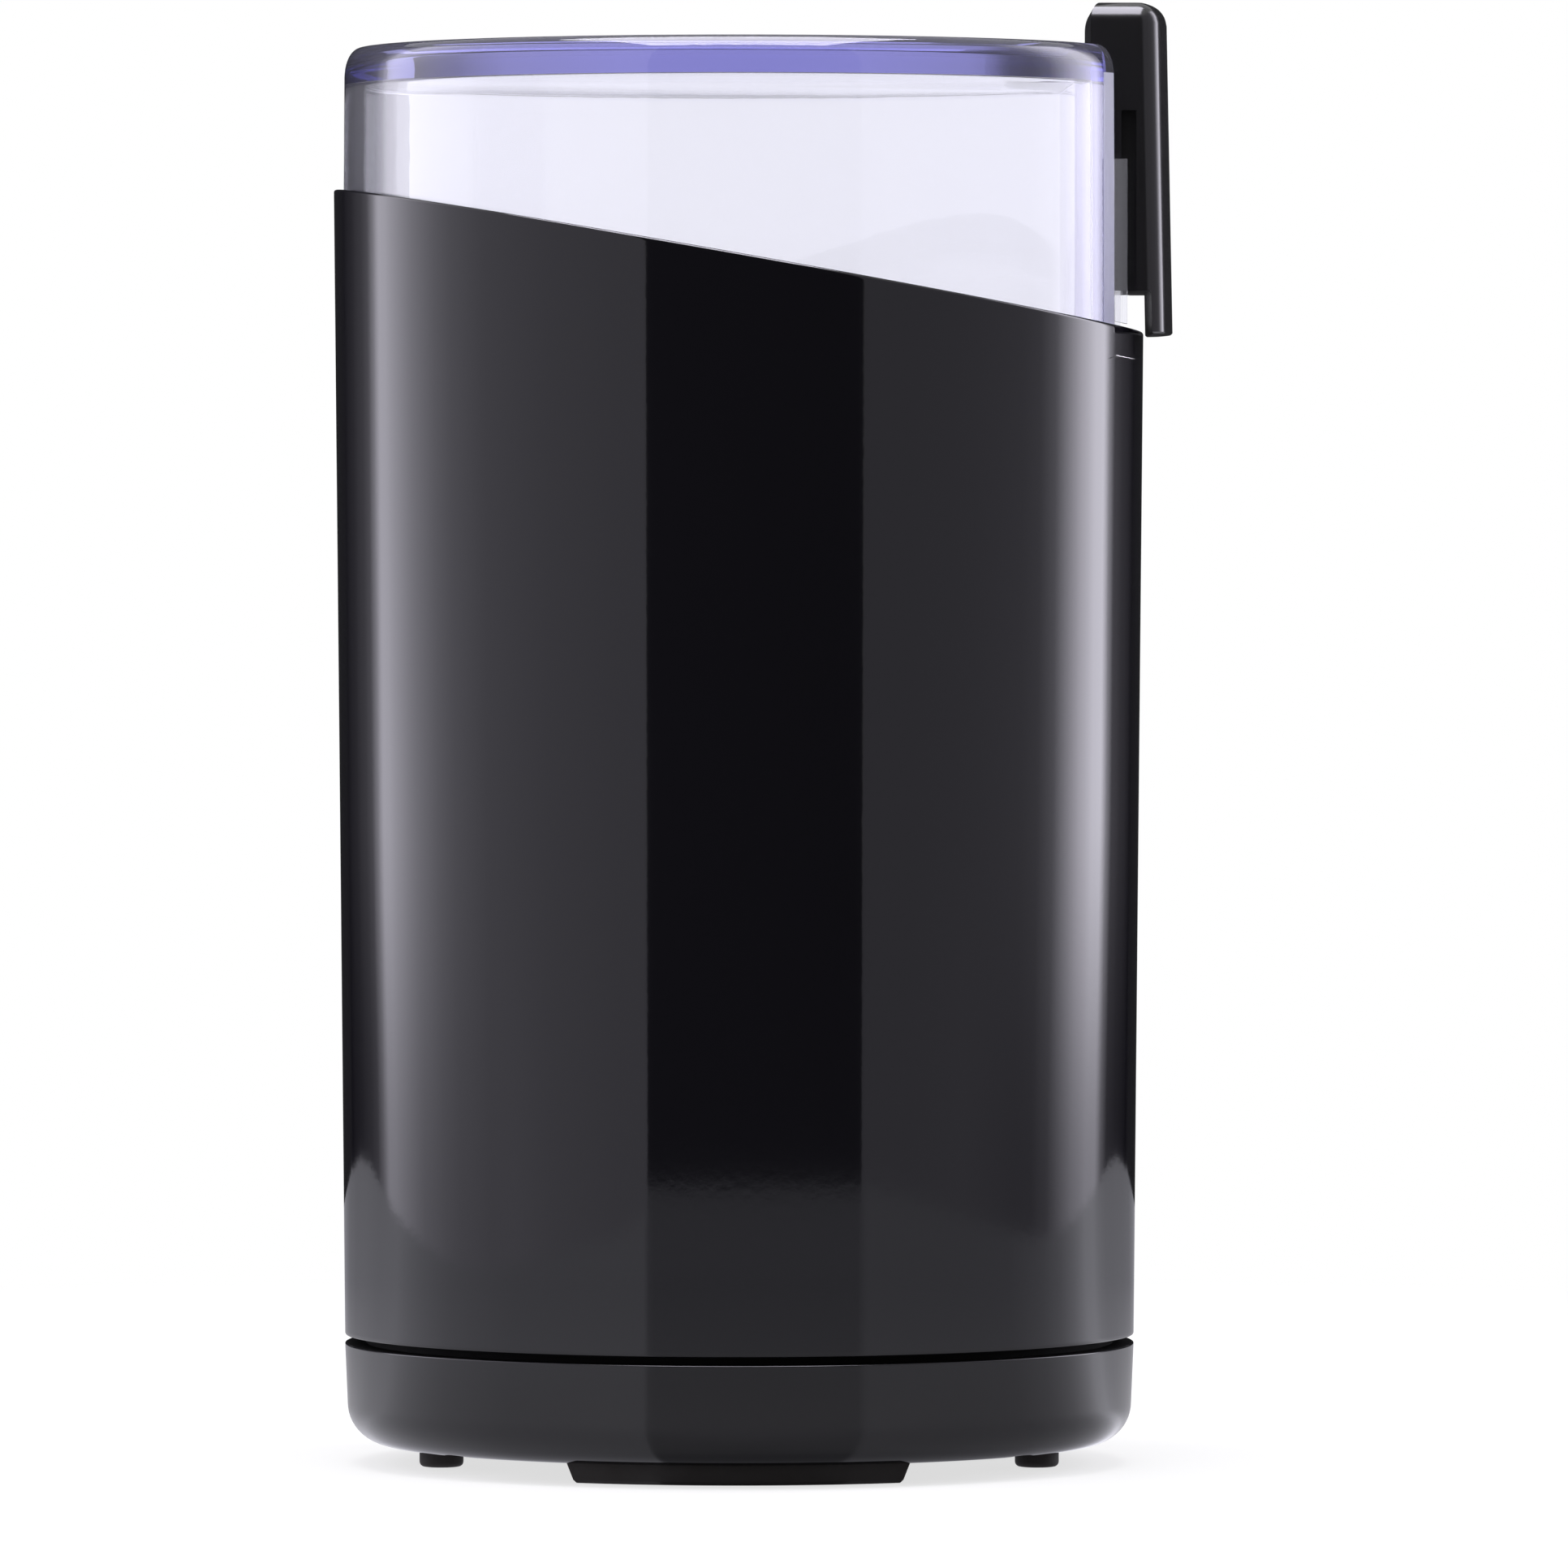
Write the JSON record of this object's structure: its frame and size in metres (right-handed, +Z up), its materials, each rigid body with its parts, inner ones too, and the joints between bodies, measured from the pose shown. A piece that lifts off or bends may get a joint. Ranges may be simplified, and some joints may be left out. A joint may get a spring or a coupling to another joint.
{
  "type": "electric coffee grinder",
  "caption": "Upright oval electric coffee grinder: black housing with a slanted rim, clear lift-off lid, tall side button, and a motor-driven blade in a steel bowl.",
  "frame": {"origin": "on the motor axis, on the plane that the feet stand on", "axes": "+X towards the side button, +Y to the rear, +Z up along the motor shaft"},
  "size_m": [0.1032, 0.0878, 0.1792],
  "materials": {
    "housing_black": "glossy black",
    "base_black": "glossy black",
    "button_black": "glossy black",
    "clear_plastic": "clear with a faint violet tint",
    "collar_black": "satin black",
    "bowl_steel": "brushed",
    "blade_steel": "ground",
    "plain_steel": "turned",
    "screw_steel": "zinc plated",
    "foot_rubber": "matte",
    "gland_rubber": "matte",
    "seal_rubber": "matte",
    "white_nylon": "natural",
    "contact_brass": "plain",
    "switch_plastic": "matte",
    "spring_steel": "drawn wire",
    "cast_aluminium": "die cast",
    "bearing_bronze": "sintered",
    "core_steel": "varnished laminations",
    "copper_wire": "enamelled",
    "commutator_copper": "turned",
    "fan_plastic": "moulded",
    "holder_plastic": "moulded",
    "brush_carbon": "pressed carbon"
  },
  "bodies": {
    "housing": {"housing": "housing_black", "base_cover": "base_black", "collar": "collar_black", "bowl": "bowl_steel", "base_screws": "screw_steel", "switch_screws": "screw_steel", "mount_screws": "screw_steel", "through_bolts": "screw_steel", "front_foot": "foot_rubber", "rear_foot": "foot_rubber", "foot_studs": "foot_rubber", "cord_gland": "gland_rubber", "bowl_gasket": "seal_rubber", "shaft_seal": "seal_rubber", "motor_mounts": "seal_rubber", "switch_terminal_front": "contact_brass", "switch_terminal_rear": "contact_brass", "switch_body": "switch_plastic", "switch_cover": "switch_plastic", "return_spring": "spring_steel", "brush_spring_left": "spring_steel", "brush_spring_right": "spring_steel", "motor_bracket": "cast_aluminium", "lower_bracket": "cast_aluminium", "upper_bearing": "bearing_bronze", "lower_bearing": "bearing_bronze", "stator_core": "core_steel", "field_coil_left": "copper_wire", "field_coil_right": "copper_wire", "brush_holder_left": "holder_plastic", "brush_holder_right": "holder_plastic", "brush_left": "brush_carbon", "brush_right": "brush_carbon"},
    "rotor": {"shaft": "plain_steel", "armature_core": "core_steel", "armature_windings": "copper_wire", "commutator": "commutator_copper", "fan": "fan_plastic", "blade_bushing": "plain_steel", "blade": "blade_steel", "blade_nut": "plain_steel"},
    "lid": {"lid": "clear_plastic"},
    "button": {"button": "button_black"},
    "push_rod": {"push_rod": "white_nylon", "contact_bridge": "contact_brass"}
  },
  "joints": [
    {"name": "rotor_spin", "type": "hinge", "parent": "housing", "child": "rotor", "pos_m": [0, 0, 0.1], "axis": [0, 0, 1], "continuous": true},
    {"name": "lid_lift", "type": "slide", "parent": "housing", "child": "lid", "axis": [0, 0, 1], "range_m": [0, 0.06]},
    {"name": "button_press", "type": "slide", "parent": "lid", "child": "button", "axis": [0, 0, -1], "range_m": [0, 0.004], "stiffness_N_per_m": 400, "springref_m": -0.004},
    {"name": "rod_press", "type": "slide", "parent": "housing", "child": "push_rod", "axis": [0, 0, -1], "range_m": [0, 0.004], "deforming": ["return_spring"]}
  ],
  "couplings": [
    {"joint": "rod_press", "follows": "button_press", "ratio": 1}
  ]
}
